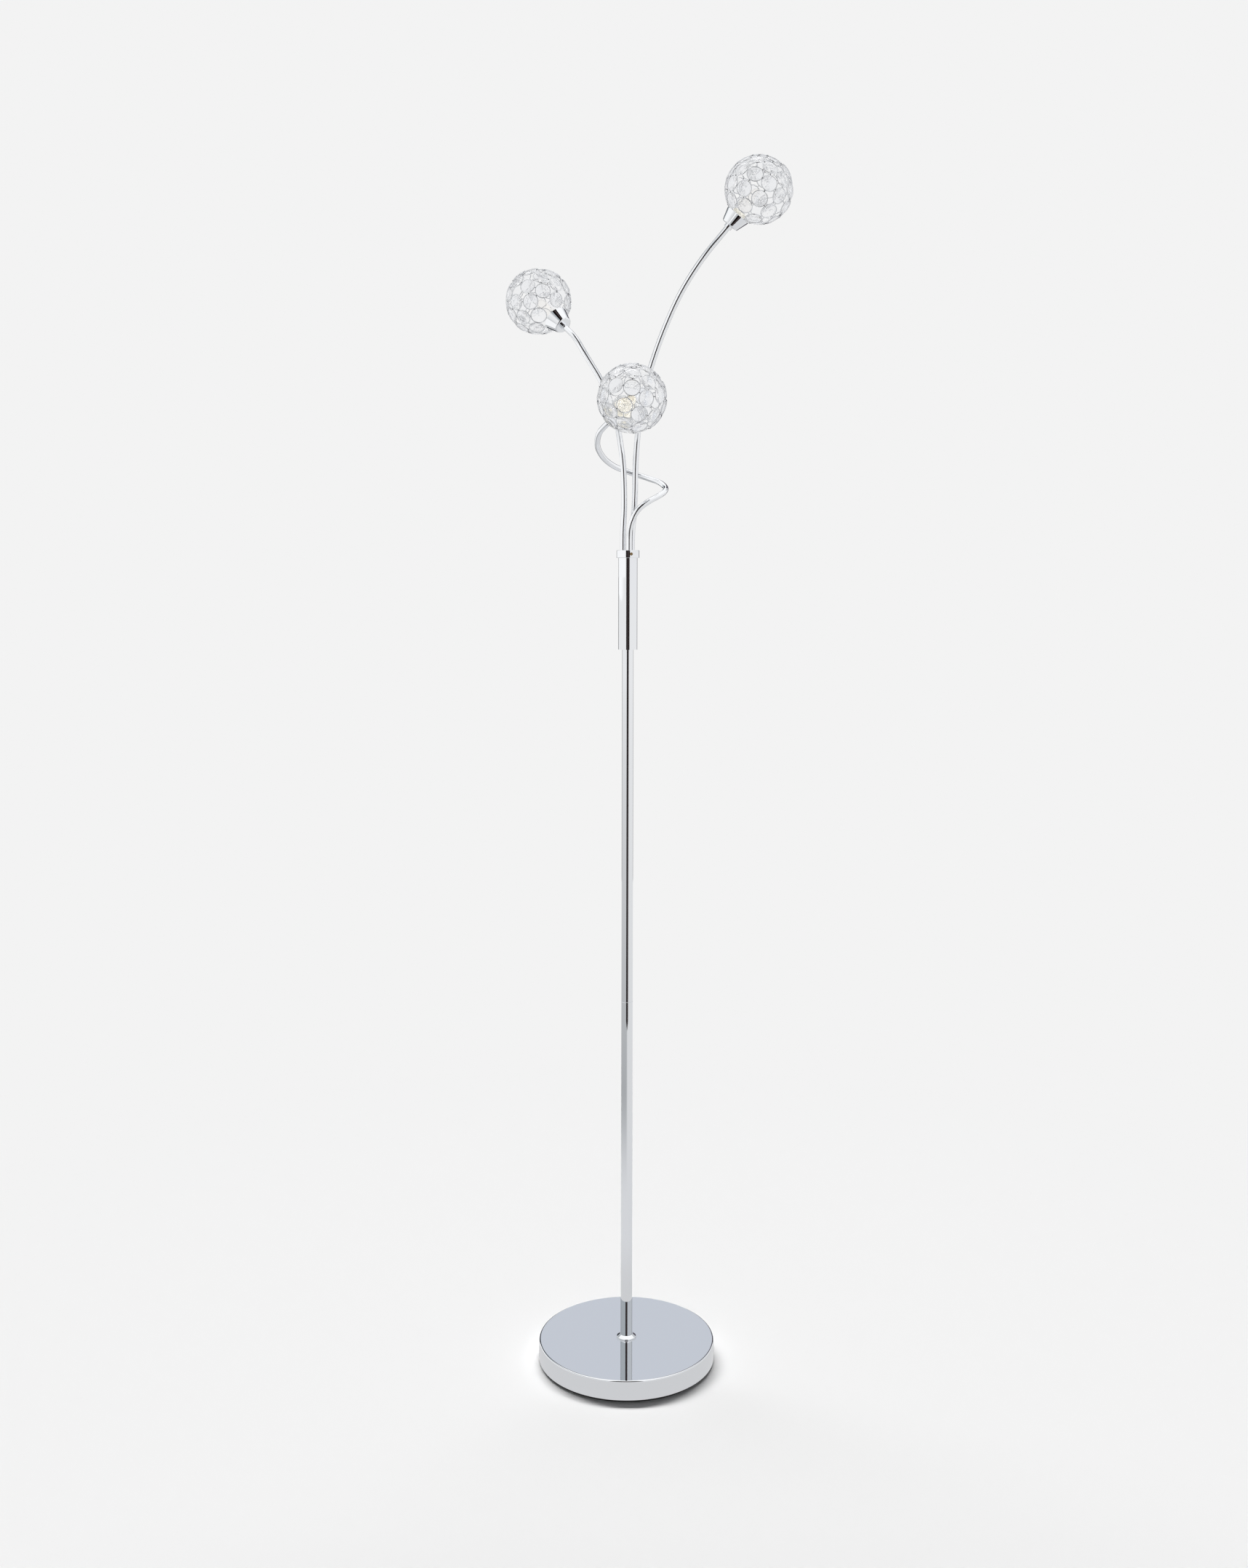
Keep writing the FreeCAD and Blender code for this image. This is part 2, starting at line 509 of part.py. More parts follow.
def make_head(head):
    """Cup, ferrule, nipple, lock nut, lampholder and bulb of one arm."""
    place = head_place(head)
    ferrule = tube(head + "_ferrule", "ferrule_diameter / 2", "arm_diameter / 2 + fit_gap",
                   "ferrule_rise", "-ferrule_rise")
    keep("ferrule_" + head, ferrule, place)

    nipple_radius = "(arm_diameter / 2 - arm_wall - fit_gap)"
    nipple = tube(head + "_nipple", nipple_radius, "nipple_bore / 2",
                  "(nipple_in_arm + cup_wall + lock_nut_rise)", "-nipple_in_arm")
    keep("nipple_" + head, nipple, place)

    nut = hexagon(head + "_lock_nut", "lock_nut_across", "lock_nut_rise", "cup_wall")
    thread = cylinder(head + "_lock_thread", nipple_radius + " + fit_gap",
                      "lock_nut_rise + 2 * overrun", "cup_wall - overrun")
    keep("lock_nut_" + head, cut(head + "_nut", nut, thread), place)

    skin = cone(head + "_cup_skin", "cup_back_diameter / 2", "cup_mouth_diameter / 2",
                "cup_length")
    skin = rounded(head + "_cup_edge", skin, size("cup_round"),
                   lambda edge: edge.Curve.Radius < size("cup_mouth_diameter") / 2
                   and abs(edge.Curve.Center.z) < size("cup_wall"))
    slope = "(cup_mouth_diameter - cup_back_diameter) / 2 / cup_length"
    inside = cone(head + "_cup_inside", "cup_back_diameter / 2 - cup_wall + cup_wall * %s" % slope,
                  "cup_mouth_diameter / 2 - cup_wall + overrun * %s" % slope,
                  "cup_length - cup_wall + overrun", "cup_wall")
    hollow = rounded(head + "_cup_hollow", inside, size("cup_round") - size("cup_wall"),
                     lambda edge: abs(edge.Curve.Center.z - size("cup_wall")) < size("overrun") / 2)
    hole = cylinder(head + "_cup_hole", nipple_radius + " + fit_gap", "cup_wall + 2 * overrun",
                    "-overrun")
    keep("cup_" + head, cut(head + "_cup", skin, hollow, hole), place)

    holder_foot = "(cup_wall + lock_nut_rise)"
    body = cylinder(head + "_holder_body", "holder_diameter / 2", "holder_rise", holder_foot)
    top = size("cup_wall") + size("lock_nut_rise") + size("holder_rise")
    body = rounded(head + "_holder_edge", body, size("holder_round"),
                   lambda edge: abs(edge.Curve.Center.z - top) < size("holder_round"))
    holder_top = "(cup_wall + lock_nut_rise + holder_rise)"
    slot = box(head + "_holder_slot", "(pinch_width + 2 * seat_gap)",
               "(pinch_depth + 2 * seat_gap)", "pinch_rise + seat_gap + overrun",
               "%s - pinch_rise - seat_gap" % holder_top)
    pin_holes = []
    for number, side in enumerate(("-", "")):
        hole = cylinder(head + "_pin_hole_%d" % number, "pin_diameter / 2 + fit_gap",
                        "pin_length + seat_gap + pinch_rise",
                        "%s - pinch_rise - pin_length - seat_gap" % holder_top)
        pin_holes.append(bind(hole, base_x=side + "pin_spread / 2"))
    keep("lampholder_" + head, cut(head + "_holder", body, slot, *pin_holes), place)

    glass = cylinder(head + "_bulb_glass", "bulb_diameter / 2", "bulb_length - bulb_diameter / 2",
                     "%s + fit_gap" % holder_top)
    dome = doc.addObject("Part::Sphere", head + "_bulb_dome")
    bind(dome, Radius="bulb_diameter / 2", base_z="%s + fit_gap + bulb_length - bulb_diameter / 2"
         % holder_top)
    pinch = box(head + "_bulb_pinch", "pinch_width", "pinch_depth", "pinch_rise + overrun",
                "%s - pinch_rise" % holder_top)
    pins = []
    for number, side in enumerate(("-", "")):
        pin = cylinder(head + "_pin_%d" % number, "pin_diameter / 2", "pin_length + overrun",
                       "%s - pinch_rise - pin_length" % holder_top)
        pins.append(bind(pin, base_x=side + "pin_spread / 2"))
    keep("bulb_" + head, fuse(head + "_bulb", glass, dome, pinch, *pins), place)


def ring_diameter():
    """Outside of one wire ring, so that a full row closes round the ball's middle."""
    around = math.pi * (size("ball_diameter") - size("wire_diameter"))
    return around / size("rings_round") - size("ring_gap")


def ring_rows():
    """The rows of rings: (angle from the cup's axis, number of rings, turn of the row)."""
    last = int(size("row_count")) - 1
    outside = size("ball_diameter") / 2
    first = math.degrees(math.asin(size("cup_mouth_diameter") / 2 / outside)
                         + math.asin(ring_diameter() / 2 / outside)
                         + size("first_row_gap") / outside)
    for row in range(last + 1):
        angle = first + (180 - first) * row / last
        count = max(1, round(size("rings_round") * math.sin(math.radians(angle))))
        yield angle, count, 180 / count * (row % 2)


def ring_places():
    """For each row, the placements of its rings, facing out of the ball."""
    reach = ring_reach()
    rows = []
    for angle, count, turn in ring_rows():
        row = []
        for number in range(count):
            spin = math.radians(turn + 360 * number / count)
            tilt = math.radians(angle)
            out = Vector(math.sin(tilt) * math.cos(spin), math.sin(tilt) * math.sin(spin),
                         -math.cos(tilt))
            row.append(FreeCAD.Placement(out * reach, FreeCAD.Rotation(UP, out)))
        rows.append(row)
    return rows


def ring_reach():
    """Distance of a ring's middle from the ball's middle, so that its rim is on the ball."""
    outside = size("ball_diameter") / 2
    return math.sqrt((outside - size("wire_diameter") / 2) ** 2
                     - (ring_diameter() / 2 - size("wire_diameter") / 2) ** 2)


def prism_between(start, end, radius, out):
    """A three-sided bar from one point to another, one edge facing out."""
    heading = unit(end - start)
    side = unit(out.cross(heading))
    face = unit(heading.cross(side))
    corners = [start + (face * math.cos(turn) + side * math.sin(turn)) * radius
               for turn in (0, 2 * math.pi / 3, 4 * math.pi / 3)]
    outline = Part.makePolygon(corners + corners[:1])
    return Part.Face(outline).extrude(end - start)


def wire_ring():
    """One ring of wire with flat sides, three faces a side, its axis on Z."""
    radius = size("wire_diameter") / 2
    middle = ring_diameter() / 2 - radius
    loops = []
    for turn in (0, 2 * math.pi / 3, 4 * math.pi / 3):
        reach, height = middle + radius * math.cos(turn), radius * math.sin(turn)
        loops.append([Vector(reach * math.cos(2 * math.pi * side / RING_SIDES),
                             reach * math.sin(2 * math.pi * side / RING_SIDES), height)
                      for side in range(RING_SIDES)])
    faces = []
    for loop, following in zip(loops, loops[1:] + loops[:1]):
        for side in range(RING_SIDES):
            after = (side + 1) % RING_SIDES
            corners = [loop[side], loop[after], following[after], following[side]]
            faces.append(Part.Face(Part.makePolygon(corners + corners[:1])))
    return Part.Solid(Part.Shell(faces))


def crystal_button():
    """One cut glass button: a flat table in front, sloping facets, and a pointed back."""
    inner = ring_diameter() / 2 - size("wire_diameter") * 3 / 4 - size("seat_gap")
    wheel = [2 * math.pi * side / RING_SIDES for side in range(RING_SIDES)]
    point = Vector(0, 0, -size("crystal_back"))
    girdle = [Vector(inner * math.cos(turn), inner * math.sin(turn), 0) for turn in wheel]
    table = [Vector(math.cos(turn), math.sin(turn), 0) * (size("crystal_table") / 2)
             + UP * size("crystal_crown") for turn in wheel]
    outlines = [table]
    for side in range(RING_SIDES):
        after = (side + 1) % RING_SIDES
        outlines.append([girdle[side], girdle[after], table[after], table[side]])
        outlines.append([girdle[side], point, girdle[after]])
    return Part.Solid(Part.Shell([Part.Face(Part.makePolygon(corners + corners[:1]))
                                  for corners in outlines]))


def moved(shape, placement):
    """A copy of a shape at a placement."""
    copy = shape.copy()
    copy.Placement = placement
    return copy


def rim_point(place, target):
    """The point of a ring's wire that lies nearest to another ring's middle."""
    out = unit(place.Base)
    way = target - place.Base
    level = unit(way - out * way.dot(out))
    inset = math.cos(math.pi / RING_SIDES)
    return place.Base + level * (ring_diameter() / 2 - size("wire_diameter") / 2) * inset


def shade_frame():
    """Every wire ring, and the short wires that tie each ring to the row before it."""
    rows = ring_places()
    ring = wire_ring()
    pieces = [moved(ring, place) for row in rows for place in row]
    for row, following in zip(rows, rows[1:]):
        for there in following:
            here = min(row, key=lambda other: (other.Base - there.Base).Length)
            start, end = rim_point(here, there.Base), rim_point(there, here.Base)
            pieces.append(prism_between(start, end, size("wire_diameter") / 2, unit(start + end)))
    return pieces


def hoop():
    """The band that plugs into the cup, with a spoke up to each ring of the first row."""
    wall, rise = size("hoop_wall"), size("hoop_rise")
    first = [rim_point(place, UP * -ring_reach()) for place in ring_places()[0]]
    top = first[0].z - size("wire_diameter") / 2
    mouth, back = size("cup_mouth_diameter") / 2, size("cup_back_diameter") / 2
    depth = rise - top - cup_mouth()
    outer = (mouth - size("cup_wall") - size("seat_gap")
             - depth * (mouth - back) / size("cup_length"))
    band = Part.makeCylinder(outer, rise, UP * (top - rise))
    band = band.cut(Part.makeCylinder(outer - wall, rise, UP * (top - rise)))
    spokes = []
    for point in first:
        level = unit(Vector(point.x, point.y, 0))
        seat = level * (outer - wall / 2) + UP * (top - size("wire_diameter") / 2)
        spokes.append(prism_between(point, seat, size("wire_diameter") / 2, level))
    return [band] + spokes


def make_shades():
    """The wire frames and their crystal buttons; the three balls are alike."""
    pieces = shade_frame() + hoop()
    frame = pieces[0].fuse(pieces[1:])
    print("shade frame solids", len(frame.Solids))
    crystal = crystal_button()
    buttons = Part.Compound([moved(crystal, place) for row in ring_places() for place in row])
    for head in HEADS:
        feature("shade_frame_" + head, frame, ball_place(head))
        feature("crystals_" + head, buttons, ball_place(head))


make_base()
make_stud()
make_pole()
make_sleeve()
make_arms()
for head in HEADS:
    make_head(head)
make_shades()
doc.recompute()

for item in doc.Objects:
    if "Invalid" in item.State or "Error" in item.State:
        raise RuntimeError("%s failed: %s" % (item.Name, item.State))
os.makedirs("parts", exist_ok=True)
for item in parts:
    if item.Shape.isNull() or not item.Shape.isValid() or not item.Shape.Solids:
        raise RuntimeError("%s has no valid solid" % item.Label)
    item.Shape.exportStep("parts/%s.step" % item.Label)
print(len(parts), "sub-parts")
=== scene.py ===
"""Looks of the chrome floor lamp: a round weighted base, a pole of two tubes, three bent
arms and three crystal ball shades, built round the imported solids. Metres, +Z up."""
import math

import bpy
import mathutils
import numpy as np
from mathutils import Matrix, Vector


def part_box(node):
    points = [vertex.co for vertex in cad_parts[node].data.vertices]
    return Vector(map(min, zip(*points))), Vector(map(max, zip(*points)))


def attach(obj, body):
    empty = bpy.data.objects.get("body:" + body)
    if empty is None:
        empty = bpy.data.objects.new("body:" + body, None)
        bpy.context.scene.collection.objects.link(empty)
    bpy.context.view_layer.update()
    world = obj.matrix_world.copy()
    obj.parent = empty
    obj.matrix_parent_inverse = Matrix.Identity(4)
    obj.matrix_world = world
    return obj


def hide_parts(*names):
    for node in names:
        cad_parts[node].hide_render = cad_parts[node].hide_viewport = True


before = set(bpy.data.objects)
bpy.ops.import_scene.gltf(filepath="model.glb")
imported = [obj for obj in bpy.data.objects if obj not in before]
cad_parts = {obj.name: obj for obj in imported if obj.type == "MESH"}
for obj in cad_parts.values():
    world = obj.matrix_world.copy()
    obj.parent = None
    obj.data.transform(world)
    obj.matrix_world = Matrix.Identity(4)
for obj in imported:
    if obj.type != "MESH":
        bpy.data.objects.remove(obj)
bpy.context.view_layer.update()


# --- The room -------------------------------------------------------------------------
# A pale studio without an edge, lit by a soft box and a faint even light, with a weak lamp
# for the insides of the balls. Polished metal alone sees pale bands, white cards at the
# sides and dark cards in front and behind, which draw the lines on its tubes.

PICTURE_HEIGHT = 2156
EYE_PLACE = (-0.0052, -2.064, 1.035)
EYE_ROLL = -0.117
PIXELS_PER_SLOPE = 2147
HORIZON_ROW = 790
SENSOR = 36

PALE = (0.896, 0.896, 0.896, 1)
FLOOR_REACH = 60
FLOOR_SHADED_TO_PLAIN = (0.6, 1.6)
FLOOR_LEFT_TO_RIGHT = (-0.3, 0.3)
FLOOR_BESIDE_TO_NEAR = (0.2, 0.4)
FLOOR_NEAR_TO_SIDES = (0.5, 1.1)
FLOOR_SIDES_TO_FAR = (1.1, 14)
FLOOR_BESIDE_BASE_IN_METAL = (0.68, 0.682, 0.69, 1)
FLOOR_NEAR_IN_METAL = (0.74, 0.745, 0.76, 1)
FLOOR_LEFT_IN_METAL = (0.44, 0.45, 0.46, 1)
FLOOR_RIGHT_IN_METAL = (0.75, 0.755, 0.76, 1)
FLOOR_FAR_IN_METAL = (0.9, 0.9, 0.9, 1)

SKY_LIGHT = (0.02, 0.02, 0.02, 1)
SOFT_BOX_LIGHT = (25.3, 25.3, 25.3, 1)
SOFT_BOX_FRONT, SOFT_BOX_BACK = (0.31, 0.41), (0.51, 0.61)
SOFT_BOX_LEFT, SOFT_BOX_RIGHT = (-0.75, -0.35), (0.1, 0.5)
LEVEL_FRONT_TO_BACK = (-0.95, 0.1)
LEVEL_LEFT_TO_RIGHT = (-0.15, 0.15)
HIGH_LEFT_TO_RIGHT = (-0.3, 0.3)
HIGH_SIDES_TO_BEHIND = (0.7, 0.85)
LEVEL_TO_HIGH = (0.28, 0.4)
HIGH_TO_OVERHEAD = (0.55, 0.8)
LEVEL_FRONT_LEFT_IN_METAL = (0.88, 0.88, 0.88, 1)
LEVEL_BACK_LEFT_IN_METAL = (1.09, 1.09, 1.09, 1)
LEVEL_RIGHT_IN_METAL = (0.89, 0.89, 0.9, 1)
HIGH_LEFT_IN_METAL = (0.45, 0.48, 0.5, 1)
HIGH_RIGHT_IN_METAL = (0.58, 0.6, 0.62, 1)
HIGH_BEHIND_IN_METAL = (0.62, 0.65, 0.71, 1)
OVERHEAD_IN_METAL = (1.1, 1.1, 1.1, 1)

CARDS = {
    "card_front": (0.7, 0, 20, 0.236, 3.0, (0.006, 0.004, 0.004, 1)),
    "card_front_middle": (0.69, 1, 6, 0.236, 3.0, (0.07, 0.055, 0.055, 1)),
    "card_high_left": (1.5, -80, 45, 1.6, 2.7, (1.05, 1.05, 1.05, 1)),
    "card_high_right": (1.5, 80, 45, 1.6, 2.7, (1.05, 1.05, 1.05, 1)),
    "card_low_left": (0.5, -90, 60, 1.03, 1.22, (1.05, 1.05, 1.05, 1)),
    "card_behind_left": (3.2, -158.5, 13.5, 0, 4.5, (0.03, 0.035, 0.045, 1)),
    "card_behind_right": (3.2, 158.5, 13.5, 0, 4.5, (0.1, 0.09, 0.11, 1)),
}
FILL_PLACE, FILL_AIM = (0, -2.1, 1.1), (0, 0, 1.38)
FILL_ANGLE, FILL_SOFTNESS, FILL_POWER = 19, 0.3, 32


class Socket:
    """One output of a node, on which sums and products are written as on a number."""

    def __init__(self, tree, link):
        self.tree, self.link = tree, link

    def maths(self, operation, *values):
        return self.tree.node("ShaderNodeMath", {"operation": operation},
                              dict(enumerate(values))).out("Value")

    def out(self, name):
        return Socket(self.tree, self.link.node.outputs[name])

    def root(self):
        return self.maths("SQRT", self)

    def log(self):
        return self.maths("LOGARITHM", self, math.e)

    def __add__(self, other):
        return self.maths("ADD", self, other)

    def __sub__(self, other):
        return self.maths("SUBTRACT", self, other)

    def __rsub__(self, other):
        return self.maths("SUBTRACT", other, self)

    def __mul__(self, other):
        return self.maths("MULTIPLY", self, other)

    def __truediv__(self, other):
        return self.maths("DIVIDE", self, other)

    def __rtruediv__(self, other):
        return self.maths("DIVIDE", other, self)

    def __gt__(self, other):
        return self.maths("GREATER_THAN", self, other)

    def __lt__(self, other):
        return self.maths("LESS_THAN", self, other)

    __radd__, __rmul__ = __add__, __mul__


class Nodes:
    """The node tree of one material, or of the sky."""

    def __init__(self, owner):
        owner.use_nodes = True
        self.tree = owner.node_tree
        self.tree.nodes.clear()

    def node(self, kind, settings=None, sockets=None):
        """Adds a node; settings are its own properties, sockets its values or links."""
        made = self.tree.nodes.new(kind)
        for name, value in (settings or {}).items():
            setattr(made, name, value)
        for name, value in (sockets or {}).items():
            if isinstance(value, Socket):
                self.tree.links.new(value.link, made.inputs[name])
            else:
                made.inputs[name].default_value = value
        return Socket(self, made.outputs[0]) if made.outputs else made

    def mix(self, share, low, high):
        """The colour that goes from low to high with share; a Mix node's sockets 0, 6 and 7
        are the share and the two colours, and its output 2 is the mixed colour."""
        mixed = self.node("ShaderNodeMix", {"data_type": "RGBA"}, {0: share, 6: low, 7: high})
        return Socket(self, mixed.link.node.outputs[2])


def ramp(nodes, value, low, high):
    """A value that goes from 0 at low to 1 at high, and stays there."""
    return nodes.node("ShaderNodeMapRange", {"clamp": True, "interpolation_type": "SMOOTHSTEP"},
                      {"Value": value, "From Min": low, "From Max": high}).out("Result")


def straight(rays):
    """1 for the camera's rays and those through glass, which see the plain backdrop."""
    return rays.out("Is Camera Ray") + rays.out("Is Transmission Ray") > 0.5


def make_camera():
    """The eye. Its picture is upright, shifted to bring the horizon to its row."""
    eye = bpy.data.cameras.new("eye")
    eye.sensor_width = SENSOR
    eye.lens = PIXELS_PER_SLOPE * SENSOR / PICTURE_HEIGHT
    eye.shift_y = (HORIZON_ROW - PICTURE_HEIGHT / 2) / PICTURE_HEIGHT
    eye.clip_end = 2 * FLOOR_REACH
    camera = bpy.data.objects.new("eye", eye)
    camera.location = EYE_PLACE
    camera.rotation_euler = (math.radians(90), math.radians(EYE_ROLL), 0)
    bpy.context.scene.collection.objects.link(camera)
    bpy.context.scene.camera = camera


def make_sky():
    """A long soft box above the lamp, behind it and to the left, in a faint even light.
    Metal sees a bright level band, a darker one above it and a white ceiling instead; the
    camera and glass see the backdrop."""
    sky = bpy.data.worlds.new("studio_sky")
    nodes = Nodes(sky)
    rays = nodes.node("ShaderNodeLightPath")
    way = nodes.node("ShaderNodeTexCoord").out("Generated")
    parts = nodes.node("ShaderNodeSeparateXYZ", None, {"Vector": way})
    across, depth, height = parts.out("X"), parts.out("Y"), parts.out("Z")
    left = nodes.mix(ramp(nodes, depth, *LEVEL_FRONT_TO_BACK), LEVEL_FRONT_LEFT_IN_METAL,
                     LEVEL_BACK_LEFT_IN_METAL)
    level = nodes.mix(ramp(nodes, across, *LEVEL_LEFT_TO_RIGHT), left, LEVEL_RIGHT_IN_METAL)
    high = nodes.mix(ramp(nodes, across, *HIGH_LEFT_TO_RIGHT), HIGH_LEFT_IN_METAL,
                     HIGH_RIGHT_IN_METAL)
    high = nodes.mix(ramp(nodes, depth, *HIGH_SIDES_TO_BEHIND), high, HIGH_BEHIND_IN_METAL)
    seen = nodes.mix(ramp(nodes, height, *LEVEL_TO_HIGH), level, high)
    seen = nodes.mix(ramp(nodes, height, *HIGH_TO_OVERHEAD), seen, OVERHEAD_IN_METAL)
    lean = depth / height
    box = (ramp(nodes, lean, *SOFT_BOX_FRONT) * (1 - ramp(nodes, lean, *SOFT_BOX_BACK))
           * (1 - ramp(nodes, across, *SOFT_BOX_RIGHT)) * ramp(nodes, across, *SOFT_BOX_LEFT)
           * (height > 0))
    light = nodes.mix(box, SKY_LIGHT, SOFT_BOX_LIGHT)
    light = nodes.mix(rays.out("Is Glossy Ray"), light, seen)
    shown = nodes.mix(straight(rays), light, PALE)
    glow = nodes.node("ShaderNodeBackground", None, {"Color": shown, "Strength": 1})
    nodes.node("ShaderNodeOutputWorld", None, {"Surface": glow})
    return sky


def flat_sheet(name, corners, paint):
    """A four-cornered sheet through the given corners, part of the room."""
    mesh = bpy.data.meshes.new(name)
    mesh.from_pydata(corners, [], [(0, 1, 2, 3)])
    sheet = bpy.data.objects.new(name, mesh)
    bpy.context.scene.collection.objects.link(sheet)
    mesh.materials.append(paint)
    return sheet


def make_floor():
    """A matt floor that takes the lamp's shadow and, further away, goes over into the plain
    backdrop. Metal sees it glow in its own colours; the last goes in with the distance d
    from a to b by log(d / a) / log(b / a)."""
    paint = bpy.data.materials.new("floor_paint")
    nodes = Nodes(paint)
    rays = nodes.node("ShaderNodeLightPath")
    place = nodes.node("ShaderNodeTexCoord").out("Object")
    away = nodes.node("ShaderNodeVectorMath", {"operation": "LENGTH"}, {0: place}).out("Value")
    across = nodes.node("ShaderNodeSeparateXYZ", None, {"Vector": place}).out("X")
    sides = nodes.mix(ramp(nodes, across, *FLOOR_LEFT_TO_RIGHT), FLOOR_LEFT_IN_METAL,
                      FLOOR_RIGHT_IN_METAL)
    start, end = FLOOR_SIDES_TO_FAR
    far = (away.log() - math.log(start)) / math.log(end / start)
    sides = nodes.mix(far, sides, FLOOR_FAR_IN_METAL)
    near = nodes.mix(ramp(nodes, away, *FLOOR_BESIDE_TO_NEAR), FLOOR_BESIDE_BASE_IN_METAL,
                     FLOOR_NEAR_IN_METAL)
    seen = nodes.mix(ramp(nodes, away, *FLOOR_NEAR_TO_SIDES), near, sides)
    plain = straight(rays) * ramp(nodes, away, *FLOOR_SHADED_TO_PLAIN)
    matt = nodes.node("ShaderNodeBsdfDiffuse", None, {"Color": PALE})
    glow = nodes.node("ShaderNodeEmission", None,
                      {"Color": nodes.mix(plain > 0, seen, PALE), "Strength": 1})
    glowing = plain.maths("MAXIMUM", plain, rays.out("Is Glossy Ray"))
    both = nodes.node("ShaderNodeMixShader", None, {0: glowing, 1: matt, 2: glow})
    nodes.node("ShaderNodeOutputMaterial", None, {"Surface": both})
    reach = FLOOR_REACH
    flat_sheet("floor", [(-reach, -reach, 0), (reach, -reach, 0), (reach, reach, 0),
                         (-reach, reach, 0)], paint)


def make_card(name, distance, azimuth, half_angle, foot, top, colour):
    """An upright glowing card that only metal sees, facing the lamp from one side; seen from
    the lamp's middle it reaches half_angle to the left and right."""
    paint = bpy.data.materials.new(name)
    nodes = Nodes(paint)
    glow = nodes.node("ShaderNodeEmission", None, {"Color": colour, "Strength": 1})
    nodes.node("ShaderNodeOutputMaterial", None, {"Surface": glow})
    turn = math.radians(azimuth)
    middle = np.array((math.sin(turn), -math.cos(turn))) * distance
    along = np.array((math.cos(turn), math.sin(turn)))
    half = distance * math.tan(math.radians(half_angle))
    low, high = middle - along * half, middle + along * half
    sheet = flat_sheet(name, [(*low, foot), (*high, foot), (*high, top), (*low, top)], paint)
    sheet.visible_camera = False
    sheet.visible_diffuse = False
    sheet.visible_transmission = False
    sheet.visible_shadow = False


def make_fill():
    """The weak lamp in front of the balls, without shadows."""
    lamp = bpy.data.lights.new("fill", "SPOT")
    lamp.energy, lamp.spot_blend = FILL_POWER, FILL_SOFTNESS
    lamp.spot_size = math.radians(FILL_ANGLE)
    lamp.use_shadow = False
    fill = bpy.data.objects.new("fill", lamp)
    fill.location = FILL_PLACE
    aim = mathutils.Vector(FILL_AIM) - fill.location
    fill.rotation_euler = aim.to_track_quat("-Z", "Y").to_euler()
    fill.visible_glossy = False
    bpy.context.scene.collection.objects.link(fill)


make_camera()
bpy.context.scene.world = make_sky()
bpy.context.scene.view_settings.view_transform = "Standard"
make_floor()
for name, facts in CARDS.items():
    make_card(name, *facts)
make_fill()


# --- Chromed pieces -------------------------------------------------------------------
# The pole, sleeve, collar and arms are steel, turned, drawn or bent, polished and then
# plated with bright chrome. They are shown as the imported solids, which carry exact round
# faces, and take only their finish here.

HEADS = ("left", "right", "middle")
CHROME_COLOUR = (0.872, 0.885, 0.905, 1)
CHROME_ROUGHNESS = 0.03


def solid_paint(name, colour, roughness, metallic=0, **more):
    """A material that is the same all over."""
    paint = bpy.data.materials.new(name)
    nodes = Nodes(paint)
    sockets = {"Base Color": colour, "Roughness": roughness, "Metallic": metallic}
    sockets.update({key.replace("_", " "): value for key, value in more.items()})
    shader = nodes.node("ShaderNodeBsdfPrincipled", None, sockets)
    nodes.node("ShaderNodeOutputMaterial", None, {"Surface": shader})
    return paint


def finish_nodes(names, paint):
    """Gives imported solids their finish."""
    for name in names:
        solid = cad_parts[name]
        solid.data.materials.clear()
        solid.data.materials.append(paint)


def on_heads(*kinds):
    """The names of the pieces of these kinds on all three heads."""
    return ["%s_%s" % (kind, head) for kind in kinds for head in HEADS]


chrome = solid_paint("bright_chrome", CHROME_COLOUR, CHROME_ROUGHNESS, metallic=1)
finish_nodes(("neck_ring", "lower_pole", "upper_pole", "sleeve_ring", "sleeve", "collar",
              "arm_left", "arm_right", "arm_spiral", *on_heads("ferrule")), chrome)


# --- Base cover -----------------------------------------------------------------------
# A round sheet steel pan pressed over the cast weight, its top edge rolled, polished and
# chromed. The cable's bush sits in a window of its skirt, at the back.

COVER_RADIUS = 0.115
COVER_FOOT = 0.004
COVER_TOP = 0.028
COVER_WALL = 0.0015
COVER_ROUND = 0.002
COVER_EYE = 0.0053
COVER_TOP_RING = 0.06
COVER_STEPS, COVER_ROUND_POINTS = 256, 9
EDGE_CREASE = 0.00004
SHARP_ANGLE = 40
WINDOW_FOOT, WINDOW_TOP = 0.008, 0.018
WINDOW_COLUMNS = 2
WINDOW_ROW_OUTSIDE, WINDOW_ROW_INSIDE = 2, -3


def round_steps(count):
    """The angles of even steps once round."""
    return np.arange(count) * 2 * math.pi / count


def turned(profile, u):
    """A profile turned round Z: its point (r, h) goes to (r cos u, r sin u, h)."""
    radius, height = np.array(profile).T
    return np.stack((np.outer(np.cos(u), radius), np.outer(np.sin(u), radius),
                     np.tile(height, (len(u), 1))), axis=-1)


def closed_quads(around, about):
    """The four-cornered faces of a grid that is closed both ways."""
    number = np.arange(around * about).reshape(around, about)
    ahead = np.roll(number, -1, 0)
    return np.stack((number, ahead, np.roll(ahead, -1, 1), np.roll(number, -1, 1)),
                    axis=-1).reshape(-1, 4)


def build(name, points, faces, paints, smooth=True, first_faces=None):
    """An object made of a table of points and a list of faces, of which the first ones
    take the first paint and the rest the last one."""
    mesh = bpy.data.meshes.new(name)
    mesh.from_pydata(points.tolist(), [], faces)
    for paint in paints:
        mesh.materials.append(paint)
    mesh.polygons.foreach_set("use_smooth", np.full(len(faces), smooth))
    if first_faces is not None:
        mesh.polygons.foreach_set("material_index", np.arange(len(faces)) >= first_faces)
    made = bpy.data.objects.new(name, mesh)
    bpy.context.scene.collection.objects.link(made)
    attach(made, "root")
    return made


